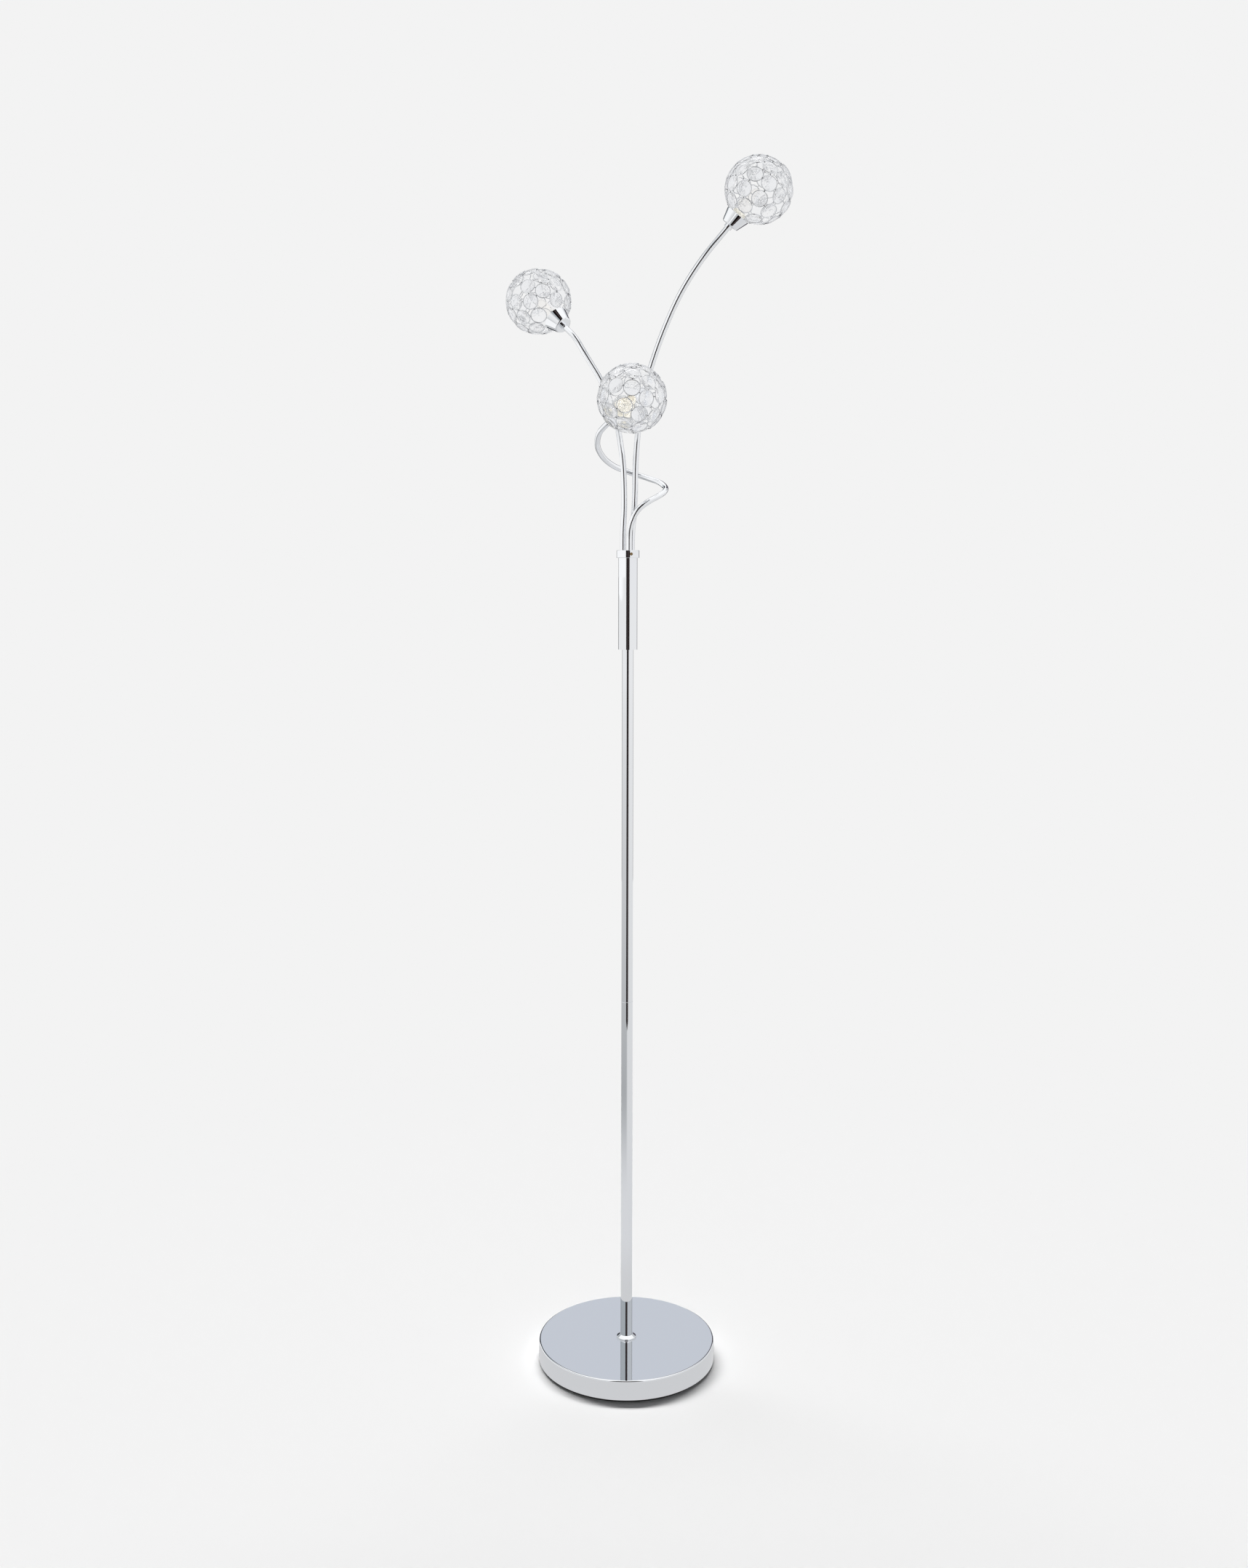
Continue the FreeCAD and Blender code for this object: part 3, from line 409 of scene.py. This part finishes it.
def cover_profile():
    """Radius and height along the sheet, from the skirt's foot over the rolled edge to the
    eye and back inside, with a second point close beside every point where the sheet
    starts to bend; the edge is the quarter circle (R - r + r cos a, T - r + r sin a)."""
    bend = np.linspace(0, math.pi / 2, COVER_ROUND_POINTS)
    edge = np.stack((COVER_RADIUS - COVER_ROUND + COVER_ROUND * np.cos(bend),
                     COVER_TOP - COVER_ROUND + COVER_ROUND * np.sin(bend)), axis=1)
    outside = [(COVER_RADIUS, COVER_FOOT), (COVER_RADIUS, COVER_FOOT + EDGE_CREASE),
               (COVER_RADIUS, WINDOW_FOOT), (COVER_RADIUS, WINDOW_TOP),
               (COVER_RADIUS, COVER_TOP - COVER_ROUND - EDGE_CREASE), *edge,
               (COVER_RADIUS - COVER_ROUND - EDGE_CREASE, COVER_TOP),
               (COVER_TOP_RING, COVER_TOP), (COVER_EYE + EDGE_CREASE, COVER_TOP),
               (COVER_EYE, COVER_TOP)]
    inner_top, inner_radius = COVER_TOP - COVER_WALL, COVER_RADIUS - COVER_WALL
    inside = [(COVER_EYE, inner_top), (inner_radius, inner_top), (inner_radius, WINDOW_TOP),
              (inner_radius, WINDOW_FOOT), (inner_radius, COVER_FOOT)]
    return np.array(outside + inside)


def make_cover():
    """The profile turned round the base's middle, with a window left out at the back, whose
    edges join the outer skirt to the inner one."""
    profile = cover_profile()
    points = turned(profile, round_steps(COVER_STEPS))
    first = COVER_STEPS // 4 - WINDOW_COLUMNS // 2
    last = first + WINDOW_COLUMNS
    kept = np.full((COVER_STEPS, len(profile)), True)
    kept[first:last, [WINDOW_ROW_OUTSIDE, WINDOW_ROW_INSIDE]] = False
    faces = closed_quads(COVER_STEPS, len(profile))[kept.ravel()].tolist()
    number = np.arange(kept.size).reshape(kept.shape)[first:last + 1]
    outer = number[:, [WINDOW_ROW_OUTSIDE, WINDOW_ROW_OUTSIDE + 1]]
    inner = number[:, [WINDOW_ROW_INSIDE + 1, WINDOW_ROW_INSIDE]]
    for one, other in ((outer[:, 0], inner[:, 0]), (outer[::-1, 1], inner[::-1, 1]),
                       (outer[0, ::-1], inner[0, ::-1]), (outer[-1], inner[-1])):
        faces += np.stack((one[:-1], one[1:], other[1:], other[:-1]), axis=-1).tolist()
    cover = build("cover", points.reshape(-1, 3), faces, (chrome,))
    cover.data.set_sharp_from_angle(angle=math.radians(SHARP_ANGLE))
    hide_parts("base_cover")


make_cover()


# --- Hidden fittings ------------------------------------------------------------------
# Inside the base, pole and cups: the cast iron weight, zinc-plated stud, washer, nut and
# inserts, brass nipples and lock nuts. They are screwed together and hardly show.

finish_nodes(("base_weight",),
             solid_paint("cast_iron", (0.05, 0.05, 0.05, 1), roughness=0.8))
finish_nodes(("base_stud", "base_washer", "base_nut", "pole_foot_insert", "pole_coupler"),
             solid_paint("zinc_plate", (0.6, 0.6, 0.6, 1), roughness=0.35, metallic=1))
finish_nodes(on_heads("nipple", "lock_nut"),
             solid_paint("brass", (0.8, 0.6, 0.3, 1), roughness=0.3, metallic=1))


# --- Collar screw, pad and bush -------------------------------------------------------
# The small brass screw that clamps the collar, the round black foam pad stuck under the
# base, and the black plastic bush pushed into the hole for the cable.

finish_nodes(("collar_screw",),
             solid_paint("screw_brass", (0.27, 0.19, 0.1, 1), roughness=0.3, metallic=1))
finish_nodes(("base_pad",),
             solid_paint("foam_pad", (0.012, 0.012, 0.013, 1), roughness=0.8))
finish_nodes(("inlet_bush",),
             solid_paint("black_plastic", (0.02, 0.02, 0.02, 1), roughness=0.45))


# --- Lampholders and bulbs ------------------------------------------------------------
# A cream ceramic lampholder sits in every cup, and a clear glass capsule bulb plugs into
# it with two pins. The ceramic's faint glow stands for the light that lies inside a ball.

finish_nodes(on_heads("lampholder"),
             solid_paint("ceramic", (0.85, 0.825, 0.75, 1), roughness=0.3,
                         Emission_Color=(0.16, 0.155, 0.14, 1), Emission_Strength=1))
finish_nodes(on_heads("bulb"),
             solid_paint("bulb_glass", (1, 0.985, 0.96, 1), roughness=0.03,
                         Transmission_Weight=1, IOR=1.12))


# --- Cups -----------------------------------------------------------------------------
# The cone that ends each arm and takes a ball's band: pressed from steel, chromed outside
# and satin inside, and held between a ring nut and a lock nut on a threaded nipple. A faint
# glow on its inside is painted light, standing for the light that lies inside a ball.

CUP_LENGTH = 0.0175
CUP_MOUTH = 0.0345
CUP_BACK = 0.023
CUP_WALL = 0.001
CUP_ROUND = 0.0025
CUP_INSIDE_COLOUR = (0.8, 0.8, 0.78, 1)
CUP_INSIDE_ROUGHER = 0.5
# painted light: the faint glow given to the inside of every cup
CUP_INSIDE_PAINTED_GLOW = (0.24, 0.24, 0.24, 1)
BLACK = (0, 0, 0, 1)
NIPPLE_MIDDLE_TO_CUP = 0.003


def turn_to(axis):
    """The smallest rotation that brings +Z to the axis: I + K + K K / (1 + z), where K is
    the matrix of the cross product with Z x axis."""
    x, y, z = axis
    cross = np.array(((0, 0, x), (0, 0, y), (-x, -y, 0)))
    return np.eye(3) + cross + cross @ cross / (1 + z)


def head_frame(head):
    """Place and turn of a head. The nipple's long direction is the head's axis, and its
    middle lies a little below the outside of the cup's back."""
    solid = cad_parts["nipple_" + head].data
    points = np.zeros(len(solid.vertices) * 3)
    solid.vertices.foreach_get("co", points)
    points = np.unique(points.reshape(-1, 3).round(6), axis=0)
    middle = points.mean(0)
    axis = np.linalg.svd(points - middle)[2][0]
    low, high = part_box("bulb_" + head)
    if axis @ (np.array(low + high) / 2 - middle) < 0:
        axis = -axis
    return middle + axis * NIPPLE_MIDDLE_TO_CUP, turn_to(axis)


def cup_paint(head):
    """Chrome outside, plain satin zinc inside, with a faint glow inside that is painted light.
    A point is inside where its distance from the cup's axis is less than the outside's at
    its height, less half the wall; the outside is a cone, less R - sqrt(R R - (R - h)(R - h))
    where the back is rounded."""
    place, turn = head_frame(head)
    paint = bpy.data.materials.new("cup_finish_and_painted_glow_" + head)
    nodes = Nodes(paint)
    point = nodes.node("ShaderNodeVectorMath", {"operation": "SUBTRACT"}, {
        0: nodes.node("ShaderNodeTexCoord").out("Object"), 1: tuple(place)})
    rise = nodes.node("ShaderNodeVectorMath", {"operation": "DOT_PRODUCT"},
                      {0: point, 1: tuple(turn[:, 2])}).out("Value")
    away = nodes.node("ShaderNodeVectorMath", {"operation": "LENGTH"}, {0: point}).out("Value")
    radius = (away * away - rise * rise).root()
    below = (CUP_ROUND - rise) * (rise < CUP_ROUND)
    cone = (CUP_BACK / 2 + (CUP_MOUTH - CUP_BACK) / 2 * rise / CUP_LENGTH
            - CUP_ROUND + (CUP_ROUND ** 2 - below * below).root())
    inside = (radius < cone - CUP_WALL / 2) * (rise > CUP_WALL / 2)
    # the emission on the inside is painted light, a glow standing for the light inside a ball
    shader = nodes.node("ShaderNodeBsdfPrincipled", None, {
        "Base Color": nodes.mix(inside, CHROME_COLOUR, CUP_INSIDE_COLOUR),
        "Roughness": CHROME_ROUGHNESS + CUP_INSIDE_ROUGHER * inside, "Metallic": 1 - inside,
        "Emission Color": nodes.mix(inside, BLACK, CUP_INSIDE_PAINTED_GLOW), "Emission Strength": 1})
    nodes.node("ShaderNodeOutputMaterial", None, {"Surface": shader})
    return paint


for head in HEADS:
    finish_nodes(("cup_" + head,), cup_paint(head))


# --- Crystal ball shades: the cages ---------------------------------------------------
# Each ball is a cage of wire rings, bent one by one by hand, joined by short soldered
# clips and plated. A band at its open end plugs into the mouth of the cup.

BALL_DIAMETER = 0.09
BALL_REACH = 0.04509
WIRE = 0.0012
WIRE_COLOUR = (0.78, 0.79, 0.81, 1)
WIRE_SIDES, RING_STEPS = 6, 28
RINGS_ROUND = 12
RING_GAP = 0.0017
FIRST_ROW_GAP = 0.0012
RING_COUNT = 45
RING_DISTANCE = 0.0434
SEEN_RINGS = {
    "left": ((-0.31, 0.39), (0.165, 0.265), (-0.185, -0.08), (-0.605, 0), (-0.415, -0.46),
             (0.525, -0.02), (0.56, 0.42), (0.045, 0.68), (-0.6, 0.58), (-0.05, -0.76),
             (0.21, -0.42), (-0.77, -0.42), (-0.27, 0.86), (0.39, 0.8), (0.85, -0.08),
             (-0.85, 0.2), (-0.5, -0.77), (0.8, 0.42)),
    "right": ((-0.09, 0.435), (0.29, 0.18), (0.02, -0.245), (-0.445, 0.05), (-0.405, -0.42),
              (0.34, 0.61), (0.68, 0.28), (0.585, -0.17), (0.28, -0.6), (-0.15, -0.8),
              (-0.745, 0.2), (-0.78, -0.28), (-0.48, 0.6), (-0.03, 0.86), (0.76, -0.5),
              (0.9, -0.02), (0.42, -0.85)),
    "middle": ((-0.46, 0.37), (0, 0.3), (-0.21, -0.19), (0.41, 0.01), (0.21, -0.43),
               (-0.6, -0.34), (-0.22, -0.68), (-0.79, 0.08), (0.47, 0.43), (0, 0.71),
               (-0.42, 0.74), (0.79, 0.09), (0.62, -0.48), (0.22, -0.8), (-0.62, -0.7),
               (0.43, 0.81), (0.79, 0.5), (-0.77, 0.53)),
}
SEEN_ROUNDS, LOOSE_ROUNDS = 40, 400
LOOSE_SPACING = 1.02
TRIED_WAYS = 3000
HAND_TILT = 0.07
HAND_SIZE = 0.03
FIRST_SEED = 3
SOLDER_COLOUR = (0.22, 0.22, 0.23, 1)
CLIP_WIRE, CLIP_SIDES = 0.0011, 6
CLIP_TIP_WIDTH, CLIP_TIP_RISE = 0.5, 0.8
CLIP_REACH = 0.0268
LONG_CLIP = 0.0028
STEEP_DOWN = -0.9
BAND_RADIUS, BAND_STEPS = 0.0147, 48
BAND_RISE = 0.005
BAND_WALL = 0.0008
BAND_RINGS_BELOW = -0.65


def unit(vectors):
    """Each vector divided by its own length."""
    return vectors / np.linalg.norm(vectors, axis=-1, keepdims=True)


def mouth_depth():
    """How far the cup's mouth lies from the ball's middle: sqrt(R R - r r)."""
    return math.sqrt((BALL_DIAMETER / 2) ** 2 - (CUP_MOUTH / 2) ** 2)


def ball_frame(head):
    """Middle and turn of a ball: its own -Z looks at the cup, whose mouth lies on it."""
    place, turn = head_frame(head)
    return place + turn[:, 2] * (CUP_LENGTH + mouth_depth()), turn


def ring_size():
    """Outside of one wire ring, so that a full row closes round the ball's middle."""
    return math.pi * BALL_DIAMETER / RINGS_ROUND - RING_GAP


def way_to(head, across, up):
    """Way, in the ball's own turn, to a ring whose middle shows at that share of the ball's
    half width across and up: x to the right, y up and sqrt(1 - x x - y y) to the viewer."""
    middle, turn = ball_frame(head)
    near = unit(np.array(EYE_PLACE) - middle)
    right = unit(np.cross((0, 0, 1), near))
    flat = np.array((across, up)) * BALL_DIAMETER / 2 / RING_DISTANCE
    return (flat[0] * right + flat[1] * np.cross(near, right)
            + math.sqrt(1 - flat @ flat) * near) @ turn


def even_ways(count):
    """Ways spread evenly all round: number n of N has the height z = 1 - (2 n + 1) / N and
    the spin a = n times pi (3 - sqrt 5), so it is (sqrt(1 - z z) (cos a, sin a), z)."""
    number = np.arange(count)
    height = 1 - 2 * (number + 0.5) / count
    spin = number * math.pi * (3 - math.sqrt(5))
    level = np.sqrt(1 - height ** 2)
    return unit(np.stack((level * np.cos(spin), level * np.sin(spin), height), axis=1))


def off_cup(ways):
    """Ways that come nearer to the cup than the first row of rings, moved up to it. The
    row's angle from the cup's axis is the mouth's, half a ring's and the gap's together."""
    lowest = -math.cos(math.asin(CUP_MOUTH / BALL_DIAMETER)
                       + math.asin(ring_size() / BALL_DIAMETER) + FIRST_ROW_GAP / BALL_DIAMETER)
    side = unit(ways * (1, 1, 0)) * math.sqrt(1 - lowest ** 2) + np.array((0, 0, lowest))
    return np.where(ways[:, 2:] < lowest, side, ways)


def settle(held, loose, apart, rounds):
    """Loose ways pushed off each other and off the held ones, round after round, by half of
    what is missing to the distance apart."""
    for number in range(rounds):
        off = loose[:, None] - np.concatenate((held, loose))[None]
        away = np.linalg.norm(off, axis=2)
        away[away == 0] = math.inf
        push = np.maximum(apart - away, 0) / away / 2
        loose = off_cup(unit(loose + (off * push[:, :, None]).sum(1)))
    return loose


def ring_places(head, seed):
    """Way to each ring from the ball's middle, and its own turn and size: first the rings
    that face the viewer, then one after the other where the most room is left on the ball;
    each is tilted and stretched a little, as by hand."""
    wide = ring_size() / RING_DISTANCE
    seen = np.array([way_to(head, across, up) for across, up in SEEN_RINGS[head]])
    ways = seen = settle(np.zeros((0, 3)), seen, wide, SEEN_ROUNDS)
    tried = off_cup(even_ways(TRIED_WAYS))
    for number in range(RING_COUNT - len(seen)):
        room = np.linalg.norm(tried[:, None] - ways[None], axis=2).min(1)
        ways = np.concatenate((ways, tried[room.argmax()][None]))
    loose = settle(seen, ways[len(seen):], wide * LOOSE_SPACING, LOOSE_ROUNDS)
    ways = np.concatenate((seen, loose))
    hand = np.random.default_rng(seed)
    tilted = unit(ways + hand.uniform(-HAND_TILT, HAND_TILT, ways.shape))
    grown = 1 + hand.uniform(-HAND_SIZE, HAND_SIZE, (len(ways), 2))
    turns = [turn_to(way) * (*own, 1) for way, own in zip(tilted, grown)]
    return ways, turns


def wire_ring(radius):
    """A ring of wire: its section, (R + r cos v, r sin v), turned round Z."""
    v = round_steps(WIRE_SIDES)
    section = np.stack((radius + WIRE / 2 * np.cos(v), WIRE / 2 * np.sin(v)), axis=1)
    points = turned(section, round_steps(RING_STEPS))
    return points.reshape(-1, 3), closed_quads(RING_STEPS, WIRE_SIDES).tolist()


def band_top():
    """Height of the band's upper edge in the ball's own frame."""
    return -mouth_depth() + WIRE / 2


def band():
    """The flat band: its four-cornered section turned round Z."""
    inner, top = BAND_RADIUS - BAND_WALL, band_top()
    foot = top - BAND_RISE
    section = ((inner, foot), (BAND_RADIUS, foot), (BAND_RADIUS, top), (inner, top))
    points = turned(section, round_steps(BAND_STEPS))
    return points.reshape(-1, 3), closed_quads(BAND_STEPS, len(section)).tolist()


def clip(start, end):
    """A straight piece of wire: four circles along it, of which the first and the last are
    smaller and lie a little beyond its ends, so that these are rounded."""
    way = unit(end - start)
    if way[2] <= STEEP_DOWN:
        start, end, way = end, start, -way
    turn = turn_to(way)
    u = round_steps(CLIP_SIDES)
    circle = np.stack((np.cos(u), np.sin(u), np.zeros(CLIP_SIDES)), axis=1) * CLIP_WIRE / 2
    circles = []
    for middle, beyond, share in ((start, -1, CLIP_TIP_WIDTH), (start, 0, 1), (end, 0, 1),
                                  (end, 1, CLIP_TIP_WIDTH)):
        own = circle * share
        own[:, 2] = beyond * CLIP_WIRE / 2 * CLIP_TIP_RISE
        circles.append(middle + own @ turn.T)
    number = np.arange(4 * CLIP_SIDES).reshape(4, CLIP_SIDES)
    beside = np.roll(number, -1, 1)
    quads = np.stack((number[:-1], beside[:-1], beside[1:], number[1:]), axis=-1).reshape(-1, 4)
    ends = [number[0, ::-1].tolist(), number[-1].tolist()]
    return np.concatenate(circles), quads.tolist() + ends


def gather(pieces):
    """Several (points, faces) joined into one table of points and one list of faces."""
    points, faces, count = [], [], 0
    for own, outlines in pieces:
        points.append(own)
        faces += [[count + corner for corner in outline] for outline in outlines]
        count += len(own)
    return np.concatenate(points), faces


def seats(grid, ways, turns):
    """Middle of each ring: its way times R - (d - B), where d is how far its outermost
    point would reach with its middle at R, so that every ring ends at the same reach B."""
    reach = math.sqrt(BALL_REACH ** 2 - (ring_size() / 2) ** 2)
    over = [np.linalg.norm(grid @ own.T + way * reach, axis=1).max() - BALL_REACH
            for way, own in zip(ways, turns)]
    return ways * (reach - np.array(over))[:, None]


def laid_flat(way, place):
    """A way, without its share that leads out of the ball at a place on it."""
    out = unit(place)
    return unit(way - out * (way @ out))


def clips(middles, wire_radius):
    """Wires across the gaps between neighbouring rings and down to the band, the longest
    first; with them, how many of them are long."""
    ends = []
    for number, middle in enumerate(middles):
        apart = np.linalg.norm(middles[number + 1:] - middle, axis=1)
        for other in middles[number + 1:][apart < CLIP_REACH]:
            ends.append([own + laid_flat(target - own, own) * wire_radius
                         for own, target in ((middle, other), (other, middle))])
    reach = np.linalg.norm(middles, axis=1).mean()
    for own in middles[middles[:, 2] < BAND_RINGS_BELOW * reach]:
        seat = (unit(own * (1, 1, 0)) * (BAND_RADIUS - BAND_WALL / 2)
                + np.array((0, 0, band_top())))
        ends.append([own + laid_flat(np.array((0, 0, -1)), own) * wire_radius, seat])
    ends.sort(key=lambda pair: -np.linalg.norm(pair[1] - pair[0]))
    long = sum(np.linalg.norm(end - start) > LONG_CLIP for start, end in ends)
    return [clip(start, end) for start, end in ends], long


def make_cage(head, seed):
    """Rings, clips and band of one ball."""
    middle, turn = ball_frame(head)
    wire_radius = ring_size() / 2 - WIRE / 2
    ways, turns = ring_places(head, seed)
    grid, quads = wire_ring(wire_radius)
    middles = seats(grid, ways, turns)
    rings = [(grid @ own.T + place, quads) for place, own in zip(middles, turns)]
    rings.append(band())
    wires, long = clips(middles, wire_radius)
    plated = sum(len(faces) for points, faces in rings + wires[:long])
    points, faces = gather(rings + wires)
    cage = build("cage_" + head, points @ turn.T + middle, faces, (wire_paint, solder_paint),
                 first_faces=plated)
    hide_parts("shade_frame_" + head)
    return middle, turn, middles, turns


wire_paint = solid_paint("wire_plate", WIRE_COLOUR, roughness=0.1, metallic=1)
solder_paint = solid_paint("solder", SOLDER_COLOUR, roughness=0.3, metallic=1)
balls = {head: make_cage(head, seed) for seed, head in enumerate(HEADS, start=FIRST_SEED)}


# --- Crystal ball shades: the buttons -------------------------------------------------
# One clear glass button sits in every ring: twelve-sided, pressed and polished, with a
# flat table in front and a pointed back, held by the ring like a stone in its setting.

BUTTON_SIDES = 12
BUTTON_BACK = 0.0042
BUTTON_LEVELS = ((1, -0.0004), (1, 0.0003), (0.76, 0.0011), (0.46, 0.0016))
BUTTON_PLAY = 0.0001
BUTTON_SPIN = 2.4
GLASS_COLOUR = (0.965, 0.97, 0.98, 1)


def button(radius):
    """A cut glass button: circles of twelve corners, each turned half a corner from the
    one before, at (radius share, height), with triangles between neighbouring circles."""
    step = 2 * math.pi / BUTTON_SIDES
    points = [np.array(((0, 0, -BUTTON_BACK),))]
    for level, (share, height) in enumerate(BUTTON_LEVELS):
        u = (np.arange(BUTTON_SIDES) + level / 2) * step
        points.append(turned([(radius * share, height)], u)[:, 0])
    count = len(BUTTON_LEVELS)
    number = 1 + np.arange(count * BUTTON_SIDES).reshape(count, BUTTON_SIDES)
    beside = np.roll(number, -1, 1)
    faces = np.stack((number[:-1], beside[:-1], number[1:]), axis=-1).reshape(-1, 3).tolist()
    faces += np.stack((beside[:-1], beside[1:], number[1:]), axis=-1).reshape(-1, 3).tolist()
    faces += [[0, int(after), int(corner)] for corner, after in zip(number[0], beside[0])]
    return np.concatenate(points), faces + [number[-1].tolist()]


def make_buttons(head):
    """The glass buttons of one ball, each spun differently in its ring."""
    middle, turn, places, turns = balls[head]
    points, faces = button(ring_size() / 2 - WIRE - BUTTON_PLAY)
    pieces = []
    for number, (place, own) in enumerate(zip(places, turns)):
        u = number * BUTTON_SPIN
        spin = np.array(((math.cos(u), -math.sin(u), 0), (math.sin(u), math.cos(u), 0),
                         (0, 0, 1)))
        pieces.append((points @ (own @ spin).T + place, faces))
    points, faces = gather(pieces)
    buttons = build("buttons_" + head, points @ turn.T + middle, faces, (glass_paint,), False)
    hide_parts("crystals_" + head)


glass_paint = solid_paint("cut_glass", GLASS_COLOUR, roughness=0.15,
                          Transmission_Weight=1, IOR=1.18)
for head in HEADS:
    make_buttons(head)
